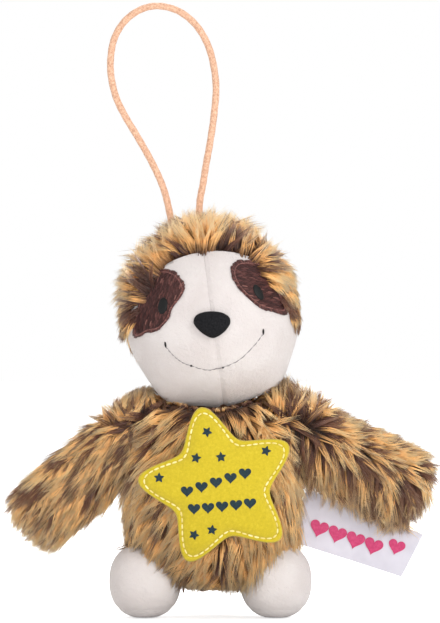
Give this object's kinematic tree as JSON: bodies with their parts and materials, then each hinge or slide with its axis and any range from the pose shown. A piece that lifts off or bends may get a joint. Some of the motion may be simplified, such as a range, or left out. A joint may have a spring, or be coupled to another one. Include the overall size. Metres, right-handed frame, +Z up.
{
  "type": "plush sloth",
  "caption": "Small stuffed sloth pendant with long mottled fur, white face and feet, a star patch on its belly and an elastic hanging loop.",
  "frame": {"origin": "on the ground under the middle of the toy's box, measured without the hanging loop", "axes": "+Z up; the sloth faces -Y, so +X is the sloth's own left"},
  "size_m": [0.0848, 0.0392, 0.1225],
  "materials": {
    "fur": "long mottled tan pile with dark brown streaks",
    "white_nap": "short dense white pile",
    "brown_thread": "dark brown satin stitch",
    "black_thread": "black satin stitch",
    "grey_thread": "thin grey thread",
    "felt": "bright yellow felt",
    "pale_thread": "pale yellow thread",
    "sewing_thread": "tan sewing thread",
    "satin": "white satin ribbon",
    "elastic": "peach woven elastic",
    "stuffing": "white polyester fibre"
  },
  "bodies": {
    "body": {"body_front_fur": "fur", "body_back_fur": "fur", "body_filling": "stuffing", "star_front": "felt", "star_back": "felt", "star_stitching": "pale_thread", "foot_thread_left": "sewing_thread", "foot_thread_right": "sewing_thread"},
    "neck": {"neck_thread": "sewing_thread"},
    "head": {"head_left_fur": "fur", "head_right_fur": "fur", "face_left": "white_nap", "face_right": "white_nap", "head_filling": "stuffing", "eye_patch_left": "brown_thread", "eye_patch_right": "brown_thread", "pupil_left": "black_thread", "pupil_right": "black_thread", "nose": "black_thread", "mouth_stitches": "grey_thread", "loop_knot": "elastic", "hanging_loop": "elastic"},
    "shoulder_left": {"shoulder_thread_left": "sewing_thread"},
    "shoulder_right": {"shoulder_thread_right": "sewing_thread"},
    "arm_left": {"arm_left_front_fur": "fur", "arm_left_back_fur": "fur", "arm_left_filling": "stuffing"},
    "arm_right": {"arm_right_front_fur": "fur", "arm_right_back_fur": "fur", "arm_right_filling": "stuffing"},
    "foot_left": {"foot_left_upper": "white_nap", "foot_left_sole": "white_nap", "foot_left_filling": "stuffing"},
    "foot_right": {"foot_right_upper": "white_nap", "foot_right_sole": "white_nap", "foot_right_filling": "stuffing"},
    "label": {"side_label": "satin"}
  },
  "joints": [
    {"name": "head_turn", "type": "hinge", "parent": "body", "child": "neck", "pos_m": [-0.00214, -0.0003, 0.0596], "axis": [0, 0, 1], "range_deg": [-30, 30], "stiffness_Nm_per_rad": 0.01},
    {"name": "head_tilt", "type": "hinge", "parent": "neck", "child": "head", "pos_m": [-0.00214, -0.0003, 0.0596], "axis": [0, 1, 0], "range_deg": [-12, 12], "stiffness_Nm_per_rad": 0.01},
    {"name": "arm_left_swing", "type": "hinge", "parent": "body", "child": "shoulder_left", "pos_m": [0.01206, -0.0003, 0.0384], "axis": [0, 0, -1], "range_deg": [-15, 15], "stiffness_Nm_per_rad": 0.006},
    {"name": "arm_left_raise", "type": "hinge", "parent": "shoulder_left", "child": "arm_left", "pos_m": [0.01206, -0.0003, 0.0384], "axis": [0, -1, 0], "range_deg": [-3, 50], "stiffness_Nm_per_rad": 0.006},
    {"name": "arm_right_swing", "type": "hinge", "parent": "body", "child": "shoulder_right", "pos_m": [-0.01594, -0.0003, 0.0384], "axis": [0, 0, 1], "range_deg": [-15, 15], "stiffness_Nm_per_rad": 0.006},
    {"name": "arm_right_raise", "type": "hinge", "parent": "shoulder_right", "child": "arm_right", "pos_m": [-0.01594, -0.0003, 0.0384], "axis": [0, 1, 0], "range_deg": [-5, 65], "stiffness_Nm_per_rad": 0.006},
    {"name": "foot_left_flex", "type": "hinge", "parent": "body", "child": "foot_left", "pos_m": [0.01061, -0.0018, 0.00695], "axis": [1, 0, 0], "range_deg": [-12, 12], "stiffness_Nm_per_rad": 0.03},
    {"name": "foot_right_flex", "type": "hinge", "parent": "body", "child": "foot_right", "pos_m": [-0.01549, -0.0018, 0.00695], "axis": [1, 0, 0], "range_deg": [-12, 12], "stiffness_Nm_per_rad": 0.03},
    {"name": "label_flap", "type": "hinge", "parent": "body", "child": "label", "pos_m": [0.01616, -0.0003, 0.0236], "axis": [0, 0, 1], "range_deg": [-10, 60], "stiffness_Nm_per_rad": 0.0002}
  ]
}
